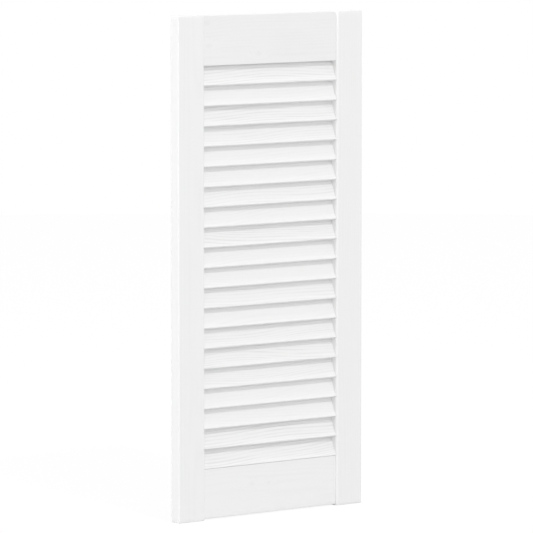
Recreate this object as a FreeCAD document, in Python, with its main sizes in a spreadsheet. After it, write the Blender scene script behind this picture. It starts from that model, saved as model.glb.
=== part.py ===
import FreeCAD, Part
import math
import os
import re
import Sketcher

# A louvred door leaf in painted pine: two stiles, a top and a bottom rail, and fixed slats between
# them. The slats lie with their front edge low, and their ends are housed in slots in the stiles.
# X runs across the door from its hinge edge, Y from the front to the back, and Z up. The origin is
# in the middle of the hinge edge's flat face.

# Driving sizes: name, value in millimetres or degrees, and meaning
SIZES = [
    ("door_height", "850", "length of the stiles"),
    ("door_width", "394", "across both stiles"),
    ("stile_width", "55.5", "width of each stile on the front"),
    ("stile_thickness", "22", "thickness of the stiles, front to back"),
    ("stile_inner_radius", "4.5", "rounding of the stile edges that face the louvre"),
    ("stile_outer_radius", "1.5", "rounding of the stile edges on the outside of the door"),
    ("stile_end_radius", "1.2", "rounding of the edges at the ends of the stiles"),
    ("rail_thickness", "16", "thickness of both rails, centred in the stiles"),
    ("rail_edge_radius", "1", "rounding of the long edges of the rails"),
    ("top_rail_height", "84", "height of the top rail"),
    ("top_rail_drop", "0.7", "top rail below the top of the stiles"),
    ("bottom_rail_height", "84", "height of the bottom rail"),
    ("bottom_rail_lift", "2.3", "bottom rail above the foot of the stiles"),
    ("tenon_thickness", "8", "thickness of the rail tenons"),
    ("tenon_length", "20", "reach of the rail tenons into the stiles"),
    ("tenon_shoulder", "12", "rail edge to tenon, above and below"),
    ("tenon_clearance", "0.15", "play around a tenon in its mortise"),
    ("slat_count", "20", "number of slats"),
    ("slat_thickness", "5.5", "thickness of a slat"),
    ("slat_angle", "67", "slope of the slats from level"),
    ("slat_front_setback", "1.8", "front edge of the slats behind the front of the stiles"),
    ("slat_back_setback", "1.5", "back edge of the slats before the back of the stiles"),
    ("slat_edge_radius", "1.2", "rounding of the long edges of a slat"),
    ("slat_housing", "7", "reach of a slat's end into the stile"),
    ("slat_clearance", "0.15", "play around a slat's end in its slot"),
    ("first_slat_gap", "0.5", "top rail to the highest point of the first slat"),
    ("last_slat_reveal", "0.9", "front edge of the last slat above the bottom rail"),
]

# Sizes that follow from the driving ones
TILT = "(slat_angle * 1 deg)"
INNER_WIDTH = "(door_width - 2 * stile_width)"
RIGHT_STILE_X = "(door_width - stile_width)"
OPENING_TOP = "(door_height / 2 - top_rail_drop - top_rail_height)"
OPENING_BOTTOM = "(bottom_rail_lift + bottom_rail_height - door_height / 2)"
SLAT_SETBACKS = "(slat_front_setback + slat_back_setback)"
SLAT_DEPTH = f"(stile_thickness - {SLAT_SETBACKS})"
SLAT_WIDTH = f"(({SLAT_DEPTH} - slat_thickness * sin({TILT})) / cos({TILT}))"
SLAT_RISE = f"({SLAT_WIDTH} * sin({TILT}))"
NOSE_Y = "(slat_front_setback - stile_thickness / 2)"
LAST_NOSE_Z = f"({OPENING_BOTTOM} + last_slat_reveal)"
SLAT_RUN = f"({OPENING_TOP} - first_slat_gap - {SLAT_RISE} - {LAST_NOSE_Z})"
SLAT_PITCH = f"({SLAT_RUN} / (slat_count - 1))"

doc = FreeCAD.newDocument("louvred_door")


def make_sheet():
    """Write the driving sizes into the document's spreadsheet."""
    sheet = doc.addObject("Spreadsheet::Sheet", "Sizes")
    for row, (alias, value, meaning) in enumerate(SIZES, start=1):
        sheet.set(f"A{row}", meaning)
        sheet.set(f"B{row}", value)
        sheet.setAlias(f"B{row}", alias)
    doc.recompute()
    return sheet


SHEET = make_sheet()
ALIAS_WORD = re.compile(r"\b(" + "|".join(alias for alias, value, meaning in SIZES) + r")\b")


def bind(target, path, formula):
    """Tie one property to a formula of the sheet's sizes."""
    target.setExpression(path, ALIAS_WORD.sub(r"Sizes.\1", formula))


def origin_feature(body, role):
    """The origin plane or axis of a body."""
    return next(item for item in body.Origin.OriginFeatures if item.Role == role)


def rectangle(body, name, plane, size, corner, turn="0"):
    """Sketch a rectangle of size (width, height) on an origin plane.

    Its first corner is at corner, given along the plane's two axes and its normal, and the
    rectangle is turned about that corner.
    """
    sketch = body.newObject("Sketcher::SketchObject", f"{body.Name}_{name}")
    sketch.AttachmentSupport = (origin_feature(body, plane), [""])
    sketch.MapMode = "FlatFace"
    sketch.AttachmentOffset = FreeCAD.Placement(
        FreeCAD.Vector(), FreeCAD.Rotation(FreeCAD.Vector(0, 0, 1), 1)
    )
    for axis, formula in zip("xyz", corner):
        bind(sketch, f"AttachmentOffset.Base.{axis}", formula)
    bind(sketch, "AttachmentOffset.Rotation.Angle", turn)
    corners = [FreeCAD.Vector(*point) for point in ((0, 0), (1, 0), (1, 1), (0, 1))]
    for start, end in zip(corners, corners[1:] + corners[:1]):
        sketch.addGeometry(Part.LineSegment(start, end), False)
    for line in range(4):
        following = (line + 1) % 4
        direction = "Vertical" if line % 2 else "Horizontal"
        sketch.addConstraint(Sketcher.Constraint("Coincident", line, 2, following, 1))
        sketch.addConstraint(Sketcher.Constraint(direction, line))
    sketch.addConstraint(Sketcher.Constraint("Coincident", 0, 1, -1, 1))
    width = sketch.addConstraint(Sketcher.Constraint("DistanceX", 0, 1, 0, 2, 1))
    height = sketch.addConstraint(Sketcher.Constraint("DistanceY", 1, 1, 1, 2, 1))
    sketch.renameConstraint(width, "width")
    sketch.renameConstraint(height, "height")
    bind(sketch, "Constraints.width", size[0])
    bind(sketch, "Constraints.height", size[1])
    return sketch


def pad(body, sketch, length):
    """Extrude a sketch along its normal."""
    feature = body.newObject("PartDesign::Pad", f"{sketch.Name}_pad")
    feature.Profile = sketch
    bind(feature, "Length", length)
    doc.recompute()
    return feature


def pocket(body, sketch, depth, along_normal):
    """Cut a sketch into the body, along its normal or against it."""
    before = body.Shape.Volume
    feature = body.newObject("PartDesign::Pocket", f"{sketch.Name}_pocket")
    feature.Profile = sketch
    feature.Reversed = along_normal
    bind(feature, "Length", depth)
    doc.recompute()
    if not body.Shape.Volume < before:
        raise RuntimeError(f"{feature.Name} cuts nothing")
    return feature


def runs_along(edge, direction):
    """Whether an edge is straight and parallel to a direction."""
    span = edge.lastVertex().Point - edge.firstVertex().Point
    return math.isclose(abs(span.dot(direction)), edge.Length)


def fillet(body, name, radius, places):
    """Round the named edges, or all edges of the named faces, of a body as it stands."""
    base = body.Tip
    feature = body.newObject("PartDesign::Fillet", f"{body.Name}_{name}")
    feature.Base = (base, places)
    bind(feature, "Radius", radius)
    doc.recompute()


def round_edges(body, name, radius, direction, wanted):
    """Round the edges that run along a direction and are wanted."""
    edges = [
        f"Edge{number}"
        for number, edge in enumerate(body.Tip.Shape.Edges, start=1)
        if runs_along(edge, direction) and wanted(edge.CenterOfMass)
    ]
    fillet(body, name, radius, edges)


def round_ends(body, name, radius):
    """Round all edges of the faces that look straight up or down."""
    ends = [
        f"Face{number}"
        for number, face in enumerate(body.Tip.Shape.Faces, start=1)
        if math.isclose(abs(face.normalAt(0, 0).z), 1)
    ]
    fillet(body, name, radius, ends)


def slat_slot(body, name, normal_offset):
    """Sketch the last slat's section with its play, as its slot in the piece beside it."""
    width = f"{SLAT_WIDTH} + 2 * slat_clearance"
    height = "slat_thickness + 2 * slat_clearance"
    lower = "(slat_thickness + slat_clearance)"
    corner_y = f"{NOSE_Y} + {lower} * sin({TILT}) - slat_clearance * cos({TILT})"
    corner_z = f"{LAST_NOSE_Z} - {lower} * cos({TILT}) - slat_clearance * sin({TILT})"
    return rectangle(
        body, name, "YZ_Plane", (width, height), (corner_y, corner_z, normal_offset), "slat_angle"
    )


def tenon_section(body, name, bottom, height, play, normal_offset):
    """Sketch a tenon's section, or with play its mortise, for the rail that stands on bottom."""
    thickness = f"tenon_thickness + 2 * {play}"
    tenon_height = f"{height} - 2 * tenon_shoulder + 2 * {play}"
    corner_y = f"-tenon_thickness / 2 - {play}"
    corner_z = f"{bottom} + tenon_shoulder - {play}"
    return rectangle(
        body, name, "YZ_Plane", (thickness, tenon_height), (corner_y, corner_z, normal_offset)
    )


RAILS = {
    "top_rail": (OPENING_TOP, "top_rail_height"),
    "bottom_rail": ("(bottom_rail_lift - door_height / 2)", "bottom_rail_height"),
}


def make_stile(name, left_side, inner_face, cuts_along_x):
    """A stile with its slat slots and two mortises cut into its inner face."""
    body = doc.addObject("PartDesign::Body", name)
    section = rectangle(
        body,
        "section",
        "XY_Plane",
        ("stile_width", "stile_thickness"),
        (left_side, "-stile_thickness / 2", "-door_height / 2"),
    )
    pad(body, section, "door_height")
    upright = FreeCAD.Vector(0, 0, 1)
    middle = body.Shape.CenterOfMass.x

    def is_inner(point):
        return (point.x < middle) == cuts_along_x

    def is_outer(point):
        return not is_inner(point)

    round_edges(body, "inner_edges", "stile_inner_radius", upright, is_inner)
    round_edges(body, "outer_edges", "stile_outer_radius", upright, is_outer)
    round_ends(body, "ends", "stile_end_radius")

    slot = pocket(
        body, slat_slot(body, "slot", inner_face), "slat_housing + slat_clearance", cuts_along_x
    )
    slots = body.newObject("PartDesign::LinearPattern", f"{name}_slots")
    slots.Originals = [slot]
    slots.Direction = (origin_feature(body, "Z_Axis"), [""])
    bind(slots, "Length", SLAT_RUN)
    bind(slots, "Occurrences", "slat_count")
    body.Tip = slots
    doc.recompute()

    for rail_name, (bottom, height) in RAILS.items():
        mortise = tenon_section(
            body, f"{rail_name}_mortise", bottom, height, "tenon_clearance", inner_face
        )
        pocket(body, mortise, "tenon_length + tenon_clearance", cuts_along_x)
    return body


def make_rail(name, is_rounded):
    """A rail between the stiles, with a tenon at each end."""
    bottom, height = RAILS[name]
    body = doc.addObject("PartDesign::Body", name)
    section = rectangle(
        body,
        "section",
        "YZ_Plane",
        ("rail_thickness", height),
        ("-rail_thickness / 2", bottom, "stile_width"),
    )
    pad(body, section, INNER_WIDTH)
    round_edges(body, "edges", "rail_edge_radius", FreeCAD.Vector(1, 0, 0), is_rounded)
    tenon = tenon_section(body, "tenon", bottom, height, "0", "stile_width - tenon_length")
    pad(body, tenon, f"{INNER_WIDTH} + 2 * tenon_length")
    return body


def make_top_rail():
    """The top rail, rounded along all four edges."""
    return make_rail("top_rail", lambda point: True)


def make_bottom_rail():
    """The bottom rail, rounded along its foot, with a groove that takes the last slat's edge."""
    rail_middle = SHEET.bottom_rail_lift + (SHEET.bottom_rail_height - SHEET.door_height) / 2
    body = make_rail("bottom_rail", lambda point: point.z < rail_middle)
    pocket(body, slat_slot(body, "groove", "stile_width"), INNER_WIDTH, True)
    return body


def make_slat(number):
    """One slat, drawn flat with its front upper edge on X and then tilted into its place."""
    body = doc.addObject("PartDesign::Body", f"slat_{number:02d}")
    section = rectangle(
        body,
        "section",
        "YZ_Plane",
        (SLAT_WIDTH, "slat_thickness"),
        ("0", "-slat_thickness", "stile_width - slat_housing"),
    )
    pad(body, section, f"{INNER_WIDTH} + 2 * slat_housing")
    round_edges(body, "edges", "slat_edge_radius", FreeCAD.Vector(1, 0, 0), lambda point: True)
    body.Placement = FreeCAD.Placement(
        FreeCAD.Vector(), FreeCAD.Rotation(FreeCAD.Vector(1, 0, 0), 1)
    )
    bind(body, "Placement.Rotation.Angle", "slat_angle")
    bind(body, "Placement.Base.y", NOSE_Y)
    bind(body, "Placement.Base.z", f"{LAST_NOSE_Z} + (slat_count - {number}) * {SLAT_PITCH}")
    return body


def check(pieces):
    """Stop if any object failed or any piece has no sound solid."""
    for item in doc.Objects:
        if "Invalid" in item.State or "Error" in item.State:
            raise RuntimeError(f"{item.Name} failed: {item.State}")
    for piece in pieces:
        if piece.Shape.isNull() or not piece.Shape.isValid() or len(piece.Shape.Solids) != 1:
            raise RuntimeError(f"{piece.Label} has no sound solid")


pieces = [
    make_stile("left_stile", "0", "stile_width", False),
    make_stile("right_stile", RIGHT_STILE_X, RIGHT_STILE_X, True),
    make_top_rail(),
    make_bottom_rail(),
]
pieces += [make_slat(number) for number in range(1, int(SHEET.slat_count) + 1)]
doc.recompute()
check(pieces)

os.makedirs("parts", exist_ok=True)
for piece in pieces:
    piece.Shape.exportStep(f"parts/{piece.Label}.step")
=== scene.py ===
import math
import random
from dataclasses import dataclass

import bpy
import numpy as np
from bpy.props import FloatProperty, FloatVectorProperty, IntProperty, PointerProperty
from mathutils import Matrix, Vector
from mathutils.geometry import delaunay_2d_cdt


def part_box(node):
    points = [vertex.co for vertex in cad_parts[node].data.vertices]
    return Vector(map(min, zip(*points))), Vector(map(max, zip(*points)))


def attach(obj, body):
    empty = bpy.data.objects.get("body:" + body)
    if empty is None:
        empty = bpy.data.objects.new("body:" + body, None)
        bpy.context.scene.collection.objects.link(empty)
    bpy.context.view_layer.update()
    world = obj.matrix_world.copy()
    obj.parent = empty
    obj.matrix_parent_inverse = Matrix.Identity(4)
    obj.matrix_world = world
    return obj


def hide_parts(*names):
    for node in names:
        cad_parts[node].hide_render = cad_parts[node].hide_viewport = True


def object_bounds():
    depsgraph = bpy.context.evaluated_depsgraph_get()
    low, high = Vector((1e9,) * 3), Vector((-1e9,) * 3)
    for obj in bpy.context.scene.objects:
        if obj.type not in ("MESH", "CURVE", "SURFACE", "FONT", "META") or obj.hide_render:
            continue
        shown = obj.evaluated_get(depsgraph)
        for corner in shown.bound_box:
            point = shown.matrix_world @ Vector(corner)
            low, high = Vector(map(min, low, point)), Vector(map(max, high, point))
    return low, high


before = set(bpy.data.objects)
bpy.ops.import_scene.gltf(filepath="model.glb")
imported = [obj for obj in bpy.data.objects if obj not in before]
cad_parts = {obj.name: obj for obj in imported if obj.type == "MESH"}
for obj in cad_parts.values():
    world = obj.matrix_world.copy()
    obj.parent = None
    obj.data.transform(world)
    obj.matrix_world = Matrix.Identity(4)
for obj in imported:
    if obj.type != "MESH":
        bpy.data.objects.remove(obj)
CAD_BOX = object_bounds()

bl_info = {
    "name": "Louvred door",
    "version": (1, 0, 0),
    "blender": (4, 5, 0),
    "location": "View3D > Sidebar > Louvred door",
    "description": "Dresses a louvred door leaf in white painted pine",
    "category": "Object",
}

ROOT = "root"
STILES = ("left_stile", "right_stile")
RAILS = ("top_rail", "bottom_rail")
SLATS = tuple(sorted(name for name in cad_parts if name.startswith("slat_")))

# Slats, counted from the top, whose grain shows plainly or fairly well through the paint
PLAIN_GRAIN_SLATS = (1, 3, 9, 15, 19, 20)
FAIR_GRAIN_SLATS = (4, 7, 12, 14, 16)

# Boards cut flat to the rings, whose grain runs in arches; the others have straight grain
FLAT_SAWN = ("slat_13", "top_rail", "bottom_rail", "left_stile", "right_stile")

# Knots in the rails: place across the door and up it, and radius, in metres
KNOTS = {
    "top_rail": ((0.172, 0.358, 0.004), (0.066, 0.374, 0.004), (0.062, 0.412, 0.005)),
    "bottom_rail": ((0.157, -0.371, 0.0035), (0.194, -0.372, 0.003)),
}

# How strongly the grain of a board shows
STILE_SHOWING = 0.4
RAIL_SHOWING = 0.4
PLAIN_GRAIN_SHOWING = 1.4
FAIR_GRAIN_SHOWING = 0.9
FAINT_GRAIN_SHOWING = 0.35

# How unevenly the paint lies on a board, as the strength of the clouds in it.
# The top rail's strong clouds are also painted shade. They darken it where the lamps light the top
# of the door more than its foot. The bottom rail gets none, so it stays lighter.
CLOUDS_AND_PAINTED_SHADE = {"top_rail": 0.19, "bottom_rail": 0.0}
FAINT_CLOUD = 0.05

# Where the heart of the tree lay, least and most. Flat-sawn boards have it near their middle, in
# board widths across and in metres through the board. The others have it past an edge, in metres.
FLAT_HEART_ACROSS = (0.2, 0.9)
FLAT_HEART_DEPTH = (0.03, 0.07)
STRAIGHT_HEART_ACROSS = (0.03, 0.09)
STRAIGHT_HEART_DEPTH = (0.005, 0.035)

# How the trunk bends, in waves to a metre, and how its rings vary in width
TRUNK_WAVES = (0.7, 1.9, 4.3)
RING_VARIATION = 0.4
RING_VARIATION_PACE = (0.5, 0.8)
LATE_WOOD_SHARPNESS = 2.0

# Knots: length to height, rings pushed aside, how far out they bend, and how sharp the edge is
KNOT_STRETCH = 1.5
KNOT_RINGS = 2.5
KNOT_REACH = 2.2
KNOT_SHARPNESS = 4

# Noise in the timber and the paint: waves to a metre along, across and through a board
PATCH_WAVES = (9.0, 160.0, 160.0)
FIBRE_WAVES = (30.0, 1500.0, 1500.0)
PEEL_WAVES = (550.0, 700.0, 700.0)
CLOUD_WAVES = (11.0, 22.0, 22.0)
THIN_WAVES = (35.0, 300.0, 300.0)
SOFT_DETAIL = 2.0
FINE_DETAIL = 3.0

# The part of the noise that counts, and what it becomes
PATCH_RANGE = (0.35, 0.65)
PATCH_SHARE = (0.15, 1.0)
THIN_RANGE = (0.5, 0.75)
PEEL_RANGE = (0.3, 0.7)
NONE_TO_ALL = (0.0, 1.0)

# What each effect adds to the tint, the roughness and the height of the paint
FRAME_GRAIN_TINT = 0.2
SLAT_GRAIN_TINT = 0.34
KNOT_TINT = 0.13
THIN_TINT = 0.12
GRAIN_ROUGHNESS = 0.06
PEEL_ROUGHNESS = 0.05
GRAIN_HEIGHT = 0.6
FIBRE_HEIGHT = 0.25
PEEL_HEIGHT = 0.3
KNOT_HEIGHT = 0.5
FRAME_BUMP = 0.00003
SLAT_BUMP = 0.00004

# Meshes: spacing in the filled ends, fewest steps on a length, and where smooth shading breaks
END_STEP = 0.002
FEWEST_STEPS = 2
SMOOTH_ANGLE = math.radians(35)

# How far apart, in metres, the boards lie in the noise, so that no two look alike
TIMBER_SPREAD = 10

# Lengths, in metres, below which two places count as one
SHOULDER_SLACK = 0.00001
SAME_POINT = 1e-9

# What the triangulation keeps
INSIDE_THE_OUTLINE = 1

# The stage
LAMPS = ("key", "side", "top", "front")
FLOOR_SIDES = 96
FLOOR_WHITENESS = 0.9
FLOOR_ROUGHNESS = 0.9
SENSOR_WIDTH = 36.0
FAR_CLIP = 100.0
WHITE = (1.0, 1.0, 1.0)

X_AXIS, Y_AXIS, Z_AXIS = np.eye(3)
QUARTER_TURN = math.pi / 2
FULL_TURN = 2 * math.pi


# Settings


class LouvredDoorTimber(bpy.types.PropertyGroup):
    """How the boards were sawn, planed and eased."""

    ring_width: FloatProperty(
        name="Ring width",
        description="Mean width of one growth ring",
        default=0.0046,
        min=0.0005,
        subtype="DISTANCE",
        unit="LENGTH",
    )
    grain_relief: FloatProperty(
        name="Grain relief",
        description="How far the hard late wood stands proud under the paint",
        default=0.00002,
        min=0.0,
        subtype="DISTANCE",
        unit="LENGTH",
    )
    knot_relief: FloatProperty(
        name="Knot relief",
        description="How far a knot stands proud under the paint",
        default=0.00006,
        min=0.0,
        subtype="DISTANCE",
        unit="LENGTH",
    )
    sway: FloatProperty(
        name="Sway of the trunk",
        description="How far the heart of the tree wanders along a board",
        default=0.007,
        min=0.0,
        subtype="DISTANCE",
        unit="LENGTH",
    )
    stile_inner_radius: FloatProperty(
        name="Stile inner edge",
        description="Rounding of the stile edges that face the louvre",
        default=0.0045,
        min=0.0001,
        subtype="DISTANCE",
        unit="LENGTH",
    )
    stile_outer_radius: FloatProperty(
        name="Stile outer edge",
        description="Rounding of the stile edges on the outside of the door",
        default=0.0015,
        min=0.0001,
        subtype="DISTANCE",
        unit="LENGTH",
    )
    end_radius: FloatProperty(
        name="Stile ends",
        description="Easing of the sawn ends of the stiles",
        default=0.0012,
        min=0.0001,
        subtype="DISTANCE",
        unit="LENGTH",
    )
    rail_radius: FloatProperty(
        name="Rail edge",
        description="Rounding of the long edges of the rails",
        default=0.001,
        min=0.0001,
        subtype="DISTANCE",
        unit="LENGTH",
    )
    sharp_radius: FloatProperty(
        name="Sharp edge",
        description="Slight rounding that paint leaves on an edge that is otherwise square",
        default=0.0003,
        min=0.00005,
        subtype="DISTANCE",
        unit="LENGTH",
    )
    slat_radius: FloatProperty(
        name="Slat edge",
        description="Rounding of the long edges of the slats",
        default=0.0012,
        min=0.0001,
        subtype="DISTANCE",
        unit="LENGTH",
    )
    play: FloatProperty(
        name="Joint play",
        description="Gap around a slat or tenon in the stile",
        default=0.00015,
        min=0.0,
        subtype="DISTANCE",
        unit="LENGTH",
    )
    step_across: FloatProperty(
        name="Step across the grain",
        description="Spacing of the mesh across the grain",
        default=0.0008,
        min=0.0002,
        subtype="DISTANCE",
        unit="LENGTH",
    )
    step_along: FloatProperty(
        name="Step along the grain",
        description="Spacing of the mesh along the grain",
        default=0.005,
        min=0.001,
        subtype="DISTANCE",
        unit="LENGTH",
    )
    arc_points: IntProperty(
        name="Points on an edge",
        description="Points round the quarter turn of an eased edge",
        default=8,
        min=2,
    )


class LouvredDoorPaint(bpy.types.PropertyGroup):
    """The paint and what shows through it."""

    paint_colour: FloatVectorProperty(
        name="Paint",
        description="White paint",
        subtype="COLOR",
        size=3,
        min=0.0,
        max=1.0,
        default=(0.87, 0.87, 0.87),
    )
    grain_colour: FloatVectorProperty(
        name="Grain",
        description="Paint where the late wood and the knots show through it",
        subtype="COLOR",
        size=3,
        min=0.0,
        max=1.0,
        default=(0.65, 0.65, 0.65),
    )
    roughness: FloatProperty(
        name="Roughness",
        description="Roughness of the satin paint",
        default=0.42,
        min=0.0,
        max=1.0,
        subtype="FACTOR",
    )


class LouvredDoorStage(bpy.types.PropertyGroup):
    """The camera, the light and the floor."""

    lens: FloatProperty(
        name="Lens",
        description="Focal length on a 36 mm sensor",
        default=318.55,
        subtype="DISTANCE_CAMERA",
        unit="CAMERA",
    )
    azimuth: FloatProperty(
        name="Azimuth",
        description="Where the camera stands round the door, from straight in front",
        default=math.radians(-38.119),
        subtype="ANGLE",
        unit="ROTATION",
    )
    elevation: FloatProperty(
        name="Elevation",
        description="How far the camera looks down",
        default=math.radians(5.515),
        subtype="ANGLE",
        unit="ROTATION",
    )
    distance: FloatProperty(
        name="Distance",
        description="From the camera to the point that it looks at",
        default=7.989,
        subtype="DISTANCE",
        unit="LENGTH",
    )
    aim: FloatVectorProperty(
        name="Aim",
        description="Point that the camera looks at, from the middle of the door",
        default=(-0.0025, 0.0, -0.0044),
        subtype="TRANSLATION",
        unit="LENGTH",
    )
    sky: FloatProperty(
        name="Sky",
        description="Strength of the even light from all round",
        default=0.77,
        min=0.0,
    )
    key_power: FloatProperty(
        name="Key light",
        description="Power of the lamp above and in front",
        default=850.0,
        min=0.0,
        subtype="POWER",
        unit="POWER",
    )
    key_size: FloatProperty(
        name="Key size",
        description="Side of the key lamp",
        default=1.2,
        subtype="DISTANCE",
        unit="LENGTH",
    )
    key_place: FloatVectorProperty(
        name="Key place",
        description="Where the key lamp hangs, from the middle of the door",
        default=(-2.0, -14.4, 14.9),
        subtype="TRANSLATION",
        unit="LENGTH",
    )
    side_power: FloatProperty(
        name="Side light",
        description="Power of the lamp to the left",
        default=98.0,
        min=0.0,
        subtype="POWER",
        unit="POWER",
    )
    side_size: FloatProperty(
        name="Side size",
        description="Side of the lamp to the left",
        default=0.4,
        subtype="DISTANCE",
        unit="LENGTH",
    )
    side_place: FloatVectorProperty(
        name="Side place",
        description="Where the side lamp stands, from the middle of the door",
        default=(-6.0, 0.02, 1.7),
        subtype="TRANSLATION",
        unit="LENGTH",
    )
    top_power: FloatProperty(
        name="Top light",
        description="Power of the lamp straight above",
        default=36.0,
        min=0.0,
        subtype="POWER",
        unit="POWER",
    )
    top_size: FloatProperty(
        name="Top size",
        description="Side of the top lamp",
        default=0.8,
        subtype="DISTANCE",
        unit="LENGTH",
    )
    top_place: FloatVectorProperty(
        name="Top place",
        description="Where the top lamp hangs, from the middle of the door",
        default=(0.0, -0.5, 6.0),
        subtype="TRANSLATION",
        unit="LENGTH",
    )
    front_power: FloatProperty(
        name="Front light",
        description="Power of the broad lamp in front",
        default=76.0,
        min=0.0,
        subtype="POWER",
        unit="POWER",
    )
    front_size: FloatProperty(
        name="Front size",
        description="Side of the front lamp",
        default=2.6,
        subtype="DISTANCE",
        unit="LENGTH",
    )
    front_place: FloatVectorProperty(
        name="Front place",
        description="Where the front lamp stands, from the middle of the door",
        default=(-2.5, -8.0, 2.8),
        subtype="TRANSLATION",
        unit="LENGTH",
    )
    floor_radius: FloatProperty(
        name="Floor",
        description="Radius of the round floor",
        default=6.0,
        subtype="DISTANCE",
        unit="LENGTH",
    )
    floor_colour: FloatVectorProperty(
        name="Floor colour",
        description="Pale floor",
        subtype="COLOR",
        size=3,
        min=0.0,
        max=1.0,
        default=(0.67, 0.67, 0.67),
    )


class LouvredDoorSettings(bpy.types.PropertyGroup):
    """All settings of the door."""

    timber: PointerProperty(type=LouvredDoorTimber)
    paint: PointerProperty(type=LouvredDoorPaint)
    stage: PointerProperty(type=LouvredDoorStage)


# Boards


@dataclass
class Board:
    """A board's own frame: its middle, its three directions and its three sizes."""

    name: str
    middle: np.ndarray
    along: np.ndarray
    across: np.ndarray
    depth: np.ndarray
    length: float
    width: float
    thickness: float

    def place(self, points):
        """Points given along, across and through the board, in the door's frame."""
        return self.middle + points @ np.array([self.along, self.across, self.depth])


def upright_board(name):
    """The frame of a stile, with its grain upright."""
    low, high = (np.array(corner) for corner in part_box(name))
    size = high - low
    return Board(name, (low + high) / 2, Z_AXIS, X_AXIS, Y_AXIS, size[2], size[0], size[1])


def level_board(name):
    """The frame of a rail between the stiles, with its grain level."""
    low, high = (np.array(corner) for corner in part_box(name))
    low[0], high[0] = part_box(STILES[0])[1].x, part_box(STILES[1])[0].x
    size = high - low
    return Board(name, (low + high) / 2, X_AXIS, Z_AXIS, -Y_AXIS, size[0], size[2], size[1])


def tilted_board(name):
    """The frame of a slat, read from its widest face, which looks up and to the front."""
    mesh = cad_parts[name].data
    upper = [polygon for polygon in mesh.polygons if polygon.normal.z > 0]
    depth = np.array(max(upper, key=lambda polygon: polygon.area).normal)
    across = np.cross(depth, X_AXIS)
    corners = np.array([vertex.co for vertex in mesh.vertices])
    local = corners @ np.array([X_AXIS, across, depth]).T
    low, high = local.min(axis=0), local.max(axis=0)
    size = high - low
    middle = (low + high) / 2 @ np.array([X_AXIS, across, depth])
    return Board(name, middle, X_AXIS, across, depth, size[0], size[1], size[2])


def tenon_size(name):
    """Reach, height and thickness of a rail's tenons, from the part of the rail inside a stile."""
    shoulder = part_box(STILES[0])[1].x
    corners = np.array([vertex.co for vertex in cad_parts[name].data.vertices])
    inside = corners[corners[:, 0] < shoulder - SHOULDER_SLACK]
    size = inside.max(axis=0) - inside.min(axis=0)
    return shoulder - inside[:, 0].min(), size[2], size[1]


# Timber


def ring_count(board, points, timber):
    """Growth rings between the heart of the tree and each point of a board, and the knots there."""
    draw = random.Random(board.name)
    sides = draw.choice((-1, 1)), draw.choice((-1, 1))
    if board.name in FLAT_SAWN:
        heart_across = sides[0] * draw.uniform(*FLAT_HEART_ACROSS) * board.width
        heart_depth = sides[1] * draw.uniform(*FLAT_HEART_DEPTH)
    else:
        heart_across = sides[0] * (board.width / 2 + draw.uniform(*STRAIGHT_HEART_ACROSS))
        heart_depth = sides[1] * draw.uniform(*STRAIGHT_HEART_DEPTH)
    along, across, depth = points.T
    sway = np.zeros(len(points))
    for waves in TRUNK_WAVES:
        phase = draw.uniform(0, FULL_TURN)
        sway += np.sin(along * waves * FULL_TURN + phase) * timber.sway / waves
    radius = np.hypot(across - heart_across + sway, depth - heart_depth + sway / 2)
    rings = radius / timber.ring_width
    pace = draw.uniform(*RING_VARIATION_PACE)
    rings += RING_VARIATION * np.sin(rings * pace + draw.uniform(0, FULL_TURN))
    knots = np.zeros(len(points))
    placed = board.place(points)
    for knot_x, knot_z, knot_radius in KNOTS.get(board.name, ()):
        aside = (placed[:, 0] - knot_x) / KNOT_STRETCH
        distance = np.hypot(aside, placed[:, 2] - knot_z) / knot_radius
        rings += KNOT_RINGS * np.exp(-((distance / KNOT_REACH) ** 2))
        knots = np.maximum(knots, np.exp(-(distance**KNOT_SHARPNESS)))
    return rings, knots


def late_wood(rings):
    """How much of each point is hard late wood, from 0 to 1."""
    return (0.5 + 0.5 * np.cos(rings * FULL_TURN)) ** LATE_WOOD_SHARPNESS


# Meshes


def step_count(length, step):
    """How many steps of about the given size a length takes."""
    return max(FEWEST_STEPS, round(length / step))


def section_counts(board, step):
    """Mesh steps along the wide and the narrow side of a board's section."""
    return step_count(board.width, step), step_count(board.thickness, step)


def rounded_section(width, thickness, radii, counts, arc_points):
    """Outline of a board's section, its outward directions, and where its rounded edges are.

    The radii are those of the corners at +width +thickness, then on round the outline.
    """
    places, outward, arris = [], [], []
    signs = ((1, 1), (-1, 1), (-1, -1), (1, -1))
    centres = [
        np.array((sign[0] * (width / 2 - radius), sign[1] * (thickness / 2 - radius)))
        for sign, radius in zip(signs, radii)
    ]
    for turn in range(len(signs)):
        following = (turn + 1) % len(signs)
        for part in np.linspace(0, 1, arc_points):
            angle = (turn + part) * QUARTER_TURN
            direction = np.array((math.cos(angle), math.sin(angle)))
            places.append(centres[turn] + radii[turn] * direction)
            outward.append(direction)
            arris.append(math.sin(part * math.pi))
        end_direction = np.array((math.cos(angle), math.sin(angle)))
        start = places[-1]
        end = centres[following] + radii[following] * end_direction
        for part in np.linspace(0, 1, counts[turn % 2] + 1)[1:-1]:
            places.append(start + (end - start) * part)
            outward.append(end_direction)
            arris.append(0.0)
    return np.array(places), np.array(outward), np.array(arris)


def fill_end(outline, step):
    """Triangles that close an outline, with points inside it at about the given spacing."""
    low, high = outline.min(axis=0), outline.max(axis=0)
    columns, rows = (stations(first, last, step)[1:-1] for first, last in zip(low, high))
    inner = [Vector((column, row)) for column in columns for row in rows]
    rim = [Vector(point) for point in outline]
    edges = [(number, (number + 1) % len(rim)) for number in range(len(rim))]
    filled = delaunay_2d_cdt(rim + inner, edges, [], INSIDE_THE_OUTLINE, SAME_POINT)
    _, _, faces, sources, _, _ = filled
    order = [source[0] for source in sources]
    triangles = [tuple(order[corner] for corner in face) for face in faces]
    return np.array(inner), triangles


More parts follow.
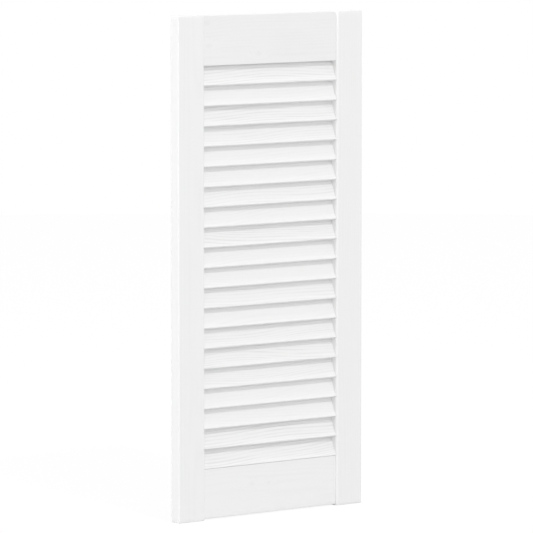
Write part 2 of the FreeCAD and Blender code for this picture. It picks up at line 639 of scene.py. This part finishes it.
def side_faces(outlines, count):
    """Faces between neighbouring outlines of a board, each with the same count of points."""
    faces = []
    for base in range(0, (outlines - 1) * count, count):
        ahead = base + count
        for number in range(count):
            following = (number + 1) % count
            faces.append((base + number, base + following, ahead + following, ahead + number))
    return faces


def lofted_board(board, sections, timber, showing):
    """Mesh of a board from its sections along the grain, with ends filled and the grain in relief.

    A section is a place along the board and an outline with its outward directions and its edges.
    """
    count = len(sections[0][1][0])
    points = [np.column_stack((np.full(count, along), outline[0])) for along, outline in sections]
    outward = [np.column_stack((np.zeros(count), outline[1])) for _, outline in sections]
    arris = [outline[2] for _, outline in sections]
    faces = side_faces(len(sections), count)
    made = len(sections) * count
    for number, facing in ((0, -1), (len(sections) - 1, 1)):
        along, outline = sections[number]
        inner, triangles = fill_end(outline[0], END_STEP)
        points.append(np.column_stack((np.full(len(inner), along), inner)))
        outward.append(np.tile((facing, 0.0, 0.0), (len(inner), 1)))
        arris.append(np.zeros(len(inner)))
        for triangle in triangles:
            corners = [
                number * count + corner if corner < count else made + corner - count
                for corner in triangle
            ]
            faces.append(tuple(corners[::facing]))
        made += len(inner)
    points = np.vstack(points)
    outward = np.vstack(outward)
    grown, knots = ring_count(board, points, timber)
    relief = late_wood(grown) * timber.grain_relief * showing + knots * timber.knot_relief
    placed = board.place(points + outward * (relief - timber.grain_relief)[:, None])

    mesh = bpy.data.meshes.new(f"{board.name}_painted")
    mesh.from_pydata(placed.tolist(), [], faces)
    draws = [random.Random(board.name + axis) for axis in "xyz"]
    offset = np.array([draw.uniform(0, TIMBER_SPREAD) for draw in draws])
    write_attribute(mesh, "timber", "FLOAT_VECTOR", points + offset)
    write_attribute(mesh, "ring", "FLOAT", grown)
    write_attribute(mesh, "knot", "FLOAT", knots)
    write_attribute(mesh, "arris", "FLOAT", np.concatenate(arris))
    write_attribute(mesh, "showing", "FLOAT", np.full(made, showing))
    # On the top rail this cloud strength is painted shade as well as uneven paint
    write_attribute(mesh, "cloud", "FLOAT", np.full(made, CLOUDS_AND_PAINTED_SHADE.get(board.name, FAINT_CLOUD)))
    return mesh


def write_attribute(mesh, name, kind, values):
    """Store a value for each point of a mesh."""
    attribute = mesh.attributes.new(name, kind, "POINT")
    field = "vector" if kind == "FLOAT_VECTOR" else "value"
    attribute.data.foreach_set(field, np.asarray(values, dtype=np.float32).ravel())


def stations(low, high, step):
    """Evenly spaced places from low to high."""
    return np.linspace(low, high, step_count(high - low, step) + 1)


def eased_ends(length, radius, arc_points):
    """Places along a board's rounded end, from the end inwards, and how far each is drawn in."""
    angles = np.linspace(0, QUARTER_TURN, arc_points)
    return [
        (-length / 2 + radius * (1 - math.sin(angle)), radius * (1 - math.cos(angle)))
        for angle in reversed(angles)
    ]


def prism(board, grow, stretch):
    """Corners and faces of a plain box round a board, larger by grow and longer by stretch."""
    half = np.array((board.length, board.width, board.thickness)) / 2 + (stretch, grow, grow)
    signs = [(end, edge, face) for end in (-1, 1) for edge in (-1, 1) for face in (-1, 1)]
    corners = board.place(np.array(signs) * half)
    faces = [(0, 1, 3, 2), (4, 6, 7, 5), (0, 4, 5, 1), (2, 3, 7, 6), (0, 2, 6, 4), (1, 5, 7, 3)]
    return corners, faces


def cutter(name, boxes):
    """One object made of several plain boxes, to cut joints with."""
    corners, faces = [], []
    for box_corners, box_faces in boxes:
        faces += [tuple(len(corners) + corner for corner in face) for face in box_faces]
        corners += box_corners.tolist()
    mesh = bpy.data.meshes.new(name)
    mesh.from_pydata(corners, [], faces)
    tool = bpy.data.objects.new(name, mesh)
    bpy.context.scene.collection.objects.link(tool)
    return tool


def slat_cutter(timber):
    """Boxes that cut the housings of all the slats."""
    boards = [tilted_board(name) for name in SLATS]
    return cutter("slat_housings", [prism(board, timber.play, timber.play) for board in boards])


def tenon_cutter(timber):
    """Boxes that cut the mortises of both rails."""
    boxes = []
    for name in RAILS:
        board = level_board(name)
        reach, board.width, board.thickness = tenon_size(name)
        boxes.append(prism(board, timber.play, reach + timber.play))
    return cutter("tenon_mortises", boxes)


def cut(piece, tools):
    """Cut the tools out of a piece for good, and remove them."""
    for tool in tools:
        change = piece.modifiers.new(tool.name, "BOOLEAN")
        change.operation = "DIFFERENCE"
        change.solver = "EXACT"
        change.object = tool
    shape = piece.evaluated_get(bpy.context.evaluated_depsgraph_get())
    mesh = bpy.data.meshes.new_from_object(shape)
    if not mesh.polygons:
        raise RuntimeError(f"{piece.name}: nothing is left after its joints are cut")
    piece.modifiers.clear()
    whole = piece.data
    piece.data = mesh
    bpy.data.meshes.remove(whole)
    for tool in tools:
        mesh = tool.data
        bpy.data.objects.remove(tool)
        bpy.data.meshes.remove(mesh)


def finish_piece(piece, node, material):
    """Shade a piece, give it its finish, and let it stand for its node."""
    mesh = piece.data
    mesh.name = piece.name
    mesh.materials.clear()
    mesh.materials.append(material)
    mesh.polygons.foreach_set("use_smooth", np.ones(len(mesh.polygons), dtype=bool))
    mesh.set_sharp_from_angle(angle=SMOOTH_ANGLE)
    mesh.update()
    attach(piece, ROOT)
    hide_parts(node)


def new_piece(mesh, node):
    """Link a new object for a node's mesh."""
    piece = bpy.data.objects.new(f"{node}_painted", mesh)
    bpy.context.scene.collection.objects.link(piece)
    return piece


def make_stile(name, timber, material):
    """A stile with eased edges and ends, slat housings and mortises."""
    board = upright_board(name)
    inner, outer = timber.stile_inner_radius, timber.stile_outer_radius
    radii = (inner, outer, outer, inner) if name == STILES[0] else (outer, inner, inner, outer)
    counts = section_counts(board, timber.step_across)
    places, outward, arris = rounded_section(
        board.width, board.thickness, radii, counts, timber.arc_points
    )
    end = eased_ends(board.length, timber.end_radius, timber.arc_points // 2)
    first = end[-1][0]
    shaft = [(along, 0.0) for along in stations(first, -first, timber.step_along)[1:-1]]
    runs = end + shaft + [(-along, inset) for along, inset in reversed(end)]
    sections = [
        (along, (places - outward * inset, outward, np.maximum(arris, float(inset > 0))))
        for along, inset in runs
    ]
    piece = new_piece(lofted_board(board, sections, timber, STILE_SHOWING), name)
    cut(piece, [slat_cutter(timber), tenon_cutter(timber)])
    finish_piece(piece, name, material)


def slat_showing(number):
    """How strongly the grain of a slat shows."""
    if number in PLAIN_GRAIN_SLATS:
        return PLAIN_GRAIN_SHOWING
    if number in FAIR_GRAIN_SLATS:
        return FAIR_GRAIN_SHOWING
    return FAINT_GRAIN_SHOWING


def make_rail(name, timber, material):
    """A rail with a tenon at each end. The bottom rail has a groove for the last slat."""
    board = level_board(name)
    reach, tenon_height, tenon_thickness = tenon_size(name)
    eased, sharp = timber.rail_radius, timber.sharp_radius
    radii = (eased,) * 4 if name == RAILS[0] else (sharp, eased, eased, sharp)
    counts = section_counts(board, timber.step_across)
    body = rounded_section(board.width, board.thickness, radii, counts, timber.arc_points)
    tenon = rounded_section(tenon_height, tenon_thickness, (sharp,) * 4, counts, timber.arc_points)
    half = board.length / 2
    first_tenon = [(-half - reach, tenon), (-half, tenon)]
    shaft = [(along, body) for along in stations(-half, half, timber.step_along / 2)]
    last_tenon = [(half, tenon), (half + reach, tenon)]
    sections = first_tenon + shaft + last_tenon
    piece = new_piece(lofted_board(board, sections, timber, RAIL_SHOWING), name)
    if name == RAILS[1]:
        cut(piece, [slat_cutter(timber)])
    finish_piece(piece, name, material)


def make_slat(number, name, timber, material):
    """A slat with eased edges."""
    board = tilted_board(name)
    counts = section_counts(board, timber.step_across)
    radii = (timber.slat_radius,) * 4
    section = rounded_section(board.width, board.thickness, radii, counts, timber.arc_points)
    half = board.length / 2
    sections = [(along, section) for along in stations(-half, half, timber.step_along)]
    piece = new_piece(lofted_board(board, sections, timber, slat_showing(number)), name)
    finish_piece(piece, name, material)


# Finishes


def link(tree, source, target):
    """Join two sockets, or set a socket to a plain value."""
    if isinstance(source, bpy.types.NodeSocket):
        tree.links.new(source, target)
    else:
        target.default_value = source


def math_node(tree, operation, *operands):
    """A Math node's result."""
    node = tree.nodes.new("ShaderNodeMath")
    node.operation = operation
    for operand, socket in zip(operands, node.inputs):
        link(tree, operand, socket)
    return node.outputs["Value"]


def range_node(tree, value, old_range, new_range):
    """A value brought from one range to another, and kept inside it."""
    node = tree.nodes.new("ShaderNodeMapRange")
    names = ("Value", "From Min", "From Max", "To Min", "To Max")
    for name, source in zip(names, (value, *old_range, *new_range)):
        link(tree, source, node.inputs[name])
    return node.outputs["Result"]


def mix_colour(tree, share, first, second):
    """A colour between two, by the share of the second."""
    node = tree.nodes.new("ShaderNodeMix")
    node.data_type = "RGBA"
    sockets = {socket.identifier: socket for socket in node.inputs}
    link(tree, share, sockets["Factor_Float"])
    sockets["A_Color"].default_value = (*first, 1.0)
    sockets["B_Color"].default_value = (*second, 1.0)
    return next(socket for socket in node.outputs if socket.identifier == "Result_Color")


def noise_node(tree, coordinates, stretch, detail):
    """Noise over coordinates that are stretched along the grain."""
    scaled = tree.nodes.new("ShaderNodeVectorMath")
    scaled.operation = "MULTIPLY"
    link(tree, coordinates, scaled.inputs[0])
    scaled.inputs[1].default_value = stretch
    node = tree.nodes.new("ShaderNodeTexNoise")
    node.inputs["Scale"].default_value = 1.0
    node.inputs["Detail"].default_value = detail
    link(tree, scaled.outputs["Vector"], node.inputs["Vector"])
    return node.outputs["Fac"]


def effect_group(name, inputs, outputs):
    """An empty node group with named sockets, and its two ends."""
    tree = bpy.data.node_groups.new(name, "ShaderNodeTree")
    for label, kind in inputs:
        tree.interface.new_socket(label, in_out="INPUT", socket_type=kind)
    for label in outputs:
        tree.interface.new_socket(label, in_out="OUTPUT", socket_type="NodeSocketFloat")
    return tree, tree.nodes.new("NodeGroupInput"), tree.nodes.new("NodeGroupOutput")


def pine_grain_group():
    """Late wood in rings, broken up along the grain, and fine fibres."""
    inputs = (("Ring", "NodeSocketFloat"), ("Timber", "NodeSocketVector"))
    tree, entry, result = effect_group("Pine grain", inputs, ("Late Wood", "Fibre"))
    turn = math_node(tree, "MULTIPLY", entry.outputs["Ring"], FULL_TURN)
    wave = math_node(tree, "MULTIPLY_ADD", math_node(tree, "COSINE", turn), 0.5, 0.5)
    band = math_node(tree, "POWER", wave, LATE_WOOD_SHARPNESS)
    patches = noise_node(tree, entry.outputs["Timber"], PATCH_WAVES, SOFT_DETAIL)
    kept = range_node(tree, patches, PATCH_RANGE, PATCH_SHARE)
    link(tree, math_node(tree, "MULTIPLY", band, kept), result.inputs["Late Wood"])
    fibres = noise_node(tree, entry.outputs["Timber"], FIBRE_WAVES, FINE_DETAIL)
    link(tree, fibres, result.inputs["Fibre"])
    return tree


def paint_film_group():
    """The fine peel of sprayed paint, and faint clouds in its thickness."""
    inputs = (("Timber", "NodeSocketVector"),)
    tree, entry, result = effect_group("Paint film", inputs, ("Peel", "Cloud"))
    peel = noise_node(tree, entry.outputs["Timber"], PEEL_WAVES, SOFT_DETAIL)
    cloud = noise_node(tree, entry.outputs["Timber"], CLOUD_WAVES, SOFT_DETAIL)
    link(tree, peel, result.inputs["Peel"])
    link(tree, cloud, result.inputs["Cloud"])
    return tree


def thin_arris_group():
    """Where the paint is thin on the eased edges."""
    inputs = (("Arris", "NodeSocketFloat"), ("Timber", "NodeSocketVector"))
    tree, entry, result = effect_group("Thin arris", inputs, ("Thin",))
    patches = noise_node(tree, entry.outputs["Timber"], THIN_WAVES, FINE_DETAIL)
    bare = range_node(tree, patches, THIN_RANGE, NONE_TO_ALL)
    link(tree, math_node(tree, "MULTIPLY", entry.outputs["Arris"], bare), result.inputs["Thin"])
    return tree


def effect(tree, maker, name, sources):
    """Place a shared effect in a material, making the group the first time."""
    node = tree.nodes.new("ShaderNodeGroup")
    node.node_tree = bpy.data.node_groups.get(name) or maker()
    for label, source in sources.items():
        link(tree, source, node.inputs[label])
    return node.outputs


def attribute_node(tree, name, output):
    """A value stored on the mesh."""
    node = tree.nodes.new("ShaderNodeAttribute")
    node.attribute_name = name
    return node.outputs[output]


def painted_pine(name, paint, grain_tint, bump_depth):
    """White satin paint over pine, with the grain, the knots and the thin edges showing faintly."""
    material = bpy.data.materials.new(name)
    material.use_nodes = True
    tree = material.node_tree
    shader = tree.nodes["Principled BSDF"]
    timber = attribute_node(tree, "timber", "Vector")
    ring = attribute_node(tree, "ring", "Fac")
    knot = attribute_node(tree, "knot", "Fac")
    showing = attribute_node(tree, "showing", "Fac")
    arris = attribute_node(tree, "arris", "Fac")
    cloud = attribute_node(tree, "cloud", "Fac")
    grain = effect(tree, pine_grain_group, "Pine grain", {"Ring": ring, "Timber": timber})
    film = effect(tree, paint_film_group, "Paint film", {"Timber": timber})
    edge = effect(tree, thin_arris_group, "Thin arris", {"Arris": arris, "Timber": timber})

    lines = math_node(tree, "MULTIPLY", grain["Late Wood"], showing)
    tint = math_node(tree, "MULTIPLY", lines, grain_tint)
    tint = math_node(tree, "MULTIPLY_ADD", knot, KNOT_TINT, tint)
    tint = math_node(tree, "MULTIPLY_ADD", edge["Thin"], THIN_TINT, tint)
    # Clouds in the paint film. On the top rail they are strong enough to be painted shade
    tint = math_node(tree, "MULTIPLY_ADD", film["Cloud"], cloud, tint)
    colour = mix_colour(tree, tint, paint.paint_colour, paint.grain_colour)
    link(tree, colour, shader.inputs["Base Color"])

    spread = (paint.roughness - PEEL_ROUGHNESS, paint.roughness + PEEL_ROUGHNESS)
    roughness = range_node(tree, film["Peel"], PEEL_RANGE, spread)
    roughness = math_node(tree, "MULTIPLY_ADD", lines, GRAIN_ROUGHNESS, roughness)
    link(tree, roughness, shader.inputs["Roughness"])

    height = math_node(tree, "MULTIPLY", lines, GRAIN_HEIGHT)
    height = math_node(tree, "MULTIPLY_ADD", grain["Fibre"], FIBRE_HEIGHT, height)
    height = math_node(tree, "MULTIPLY_ADD", film["Peel"], PEEL_HEIGHT, height)
    height = math_node(tree, "MULTIPLY_ADD", knot, KNOT_HEIGHT, height)
    bump = tree.nodes.new("ShaderNodeBump")
    bump.inputs["Strength"].default_value = 1.0
    bump.inputs["Distance"].default_value = bump_depth
    link(tree, height, bump.inputs["Height"])
    link(tree, bump.outputs["Normal"], shader.inputs["Normal"])
    return material


# Stage


def floor_finish(stage):
    """A pale floor that the camera sees as nearly white, with the door's shadow on it."""
    material = bpy.data.materials.new("pale_floor")
    material.use_nodes = True
    tree = material.node_tree
    shader = tree.nodes["Principled BSDF"]
    seen = seen_rays(tree)
    colour = mix_colour(tree, seen, stage.floor_colour, WHITE)
    link(tree, colour, shader.inputs["Base Color"])
    shader.inputs["Roughness"].default_value = FLOOR_ROUGHNESS
    shader.inputs["Specular IOR Level"].default_value = 0.0
    glow = tree.nodes.new("ShaderNodeEmission")
    glow.inputs["Strength"].default_value = 1.0
    blend = tree.nodes.new("ShaderNodeMixShader")
    link(tree, math_node(tree, "MULTIPLY", seen, FLOOR_WHITENESS), blend.inputs["Fac"])
    link(tree, shader.outputs["BSDF"], blend.inputs[1])
    link(tree, glow.outputs["Emission"], blend.inputs[2])
    link(tree, blend.outputs["Shader"], tree.nodes["Material Output"].inputs["Surface"])
    return material


def seen_rays(tree):
    """1 for rays from the camera, in reflections and through glass, and 0 for light."""
    path = tree.nodes.new("ShaderNodeLightPath")
    seen = path.outputs["Is Camera Ray"]
    for kind in ("Is Glossy Ray", "Is Transmission Ray"):
        seen = math_node(tree, "MAXIMUM", seen, path.outputs[kind])
    return seen


def make_floor(stage, middle):
    """A round floor under the door."""
    centre = Vector((middle.x, middle.y, CAD_BOX[0].z))
    angles = [number * FULL_TURN / FLOOR_SIDES for number in range(FLOOR_SIDES)]
    spokes = [Vector((math.cos(angle), math.sin(angle), 0.0)) for angle in angles]
    rim = [centre + spoke * stage.floor_radius for spoke in spokes]
    mesh = bpy.data.meshes.new("floor")
    mesh.from_pydata(rim, [], [tuple(range(FLOOR_SIDES))])
    mesh.materials.append(floor_finish(stage))
    floor = bpy.data.objects.new("floor", mesh)
    bpy.context.scene.collection.objects.link(floor)


def make_sky(stage):
    """Even light from all round, white where it is seen."""
    world = bpy.data.worlds.new("studio")
    world.use_nodes = True
    tree = world.node_tree
    background = tree.nodes["Background"]
    background.inputs["Color"].default_value = (*WHITE, 1.0)
    strength = range_node(tree, seen_rays(tree), NONE_TO_ALL, (stage.sky, 1.0))
    link(tree, strength, background.inputs["Strength"])
    bpy.context.scene.world = world


def make_lamp(stage, name, middle):
    """A soft square lamp that looks at the middle of the door."""
    data = bpy.data.lights.new(f"{name}_lamp", "AREA")
    data.energy = getattr(stage, f"{name}_power")
    data.size = getattr(stage, f"{name}_size")
    place = Vector(getattr(stage, f"{name}_place"))
    lamp = bpy.data.objects.new(f"{name}_lamp", data)
    lamp.location = middle + place
    lamp.rotation_euler = (-place).to_track_quat("-Z", "Y").to_euler()
    lamp.visible_camera = False
    bpy.context.scene.collection.objects.link(lamp)


def make_camera(stage, middle):
    """The camera, which looks at the door from the left and a little from above."""
    data = bpy.data.cameras.new("camera")
    data.lens = stage.lens
    data.sensor_width = SENSOR_WIDTH
    data.clip_end = FAR_CLIP
    camera = bpy.data.objects.new("camera", data)
    level = math.cos(stage.elevation)
    right, front = math.sin(stage.azimuth) * level, math.cos(stage.azimuth) * level
    back = Vector((right, -front, math.sin(stage.elevation)))
    camera.location = middle + Vector(stage.aim) + back * stage.distance
    camera.rotation_euler = (-back).to_track_quat("-Z", "Y").to_euler()
    bpy.context.scene.collection.objects.link(camera)
    bpy.context.scene.camera = camera


# Operators


class LOUVREDDOOR_OT_stiles(bpy.types.Operator):
    """Make the two stiles"""

    bl_idname = "louvred_door.stiles"
    bl_label = "Stiles"

    def execute(self, context):
        settings = context.scene.louvred_door
        finish = painted_pine("painted_stile", settings.paint, FRAME_GRAIN_TINT, FRAME_BUMP)
        for name in STILES:
            make_stile(name, settings.timber, finish)
        return {"FINISHED"}


class LOUVREDDOOR_OT_rails(bpy.types.Operator):
    """Make the top and the bottom rail"""

    bl_idname = "louvred_door.rails"
    bl_label = "Rails"

    def execute(self, context):
        settings = context.scene.louvred_door
        finish = painted_pine("painted_rail", settings.paint, FRAME_GRAIN_TINT, FRAME_BUMP)
        for name in RAILS:
            make_rail(name, settings.timber, finish)
        return {"FINISHED"}


class LOUVREDDOOR_OT_slats(bpy.types.Operator):
    """Make the slats"""

    bl_idname = "louvred_door.slats"
    bl_label = "Slats"

    def execute(self, context):
        settings = context.scene.louvred_door
        finish = painted_pine("painted_slat", settings.paint, SLAT_GRAIN_TINT, SLAT_BUMP)
        for number, name in enumerate(SLATS, start=1):
            make_slat(number, name, settings.timber, finish)
        return {"FINISHED"}


class LOUVREDDOOR_OT_stage(bpy.types.Operator):
    """Make the floor, the light and the camera"""

    bl_idname = "louvred_door.stage"
    bl_label = "Stage"

    def execute(self, context):
        stage = context.scene.louvred_door.stage
        middle = (CAD_BOX[0] + CAD_BOX[1]) / 2
        make_camera(stage, middle)
        make_sky(stage)
        for lamp in LAMPS:
            make_lamp(stage, lamp, middle)
        make_floor(stage, middle)
        context.scene.view_settings.view_transform = "Standard"
        return {"FINISHED"}


class LOUVREDDOOR_PT_panel(bpy.types.Panel):
    """The door's settings and the operators that make it"""

    bl_idname = "LOUVREDDOOR_PT_panel"
    bl_label = "Louvred door"
    bl_space_type = "VIEW_3D"
    bl_region_type = "UI"
    bl_category = "Louvred door"

    def draw(self, context):
        settings = context.scene.louvred_door
        for group in (settings.timber, settings.paint, settings.stage):
            column = self.layout.column()
            for name in group.__annotations__:
                column.prop(group, name)
        for operator in OPERATORS:
            self.layout.operator(operator.bl_idname)


OPERATORS = (
    LOUVREDDOOR_OT_stiles,
    LOUVREDDOOR_OT_rails,
    LOUVREDDOOR_OT_slats,
    LOUVREDDOOR_OT_stage,
)
CLASSES = (
    LouvredDoorTimber,
    LouvredDoorPaint,
    LouvredDoorStage,
    LouvredDoorSettings,
    *OPERATORS,
    LOUVREDDOOR_PT_panel,
)


def register():
    """Add the settings, the operators and the panel."""
    for item in CLASSES:
        bpy.utils.register_class(item)
    bpy.types.Scene.louvred_door = PointerProperty(type=LouvredDoorSettings)


def unregister():
    """Take them away again."""
    del bpy.types.Scene.louvred_door
    for item in reversed(CLASSES):
        bpy.utils.unregister_class(item)


def main():
    """Make the door and its stage."""
    register()
    bpy.ops.louvred_door.stiles()
    bpy.ops.louvred_door.rails()
    bpy.ops.louvred_door.slats()
    bpy.ops.louvred_door.stage()


if __name__ == "__main__":
    main()
